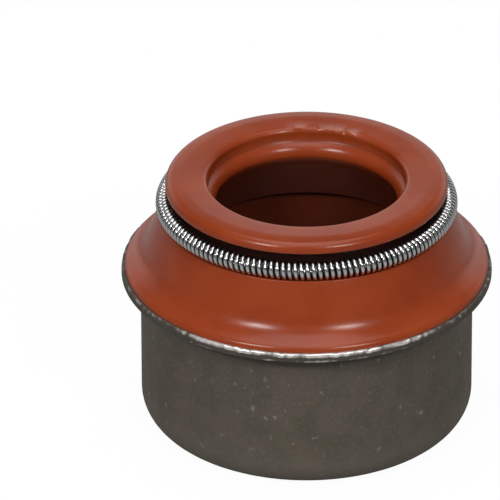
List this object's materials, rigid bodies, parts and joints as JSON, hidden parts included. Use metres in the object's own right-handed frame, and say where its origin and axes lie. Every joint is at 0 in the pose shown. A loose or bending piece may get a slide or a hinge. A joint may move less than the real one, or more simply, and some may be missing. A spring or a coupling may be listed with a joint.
{
  "type": "valve stem seal",
  "caption": "Round valve stem seal: a flanged steel case lined with rubber, and a rubber neck whose sealing lip a garter spring presses on the stem.",
  "frame": {"origin": "on the seal's axis, in the plane of the case's underside", "axes": "+Z along the axis, from the valve guide up to the sealing lip; the seal is round, so +X and +Y are any two directions square to it"},
  "size_m": [0.0162, 0.0162, 0.0116],
  "materials": {
    "phosphated_steel": "matt grey phosphate, bright on the flange's edge",
    "brown_rubber": "satin, moulded",
    "spring_steel": "bright drawn wire"
  },
  "bodies": {
    "root": {"steel_case": "phosphated_steel", "rubber_body": "brown_rubber", "garter_spring": "spring_steel"}
  },
  "joints": []
}
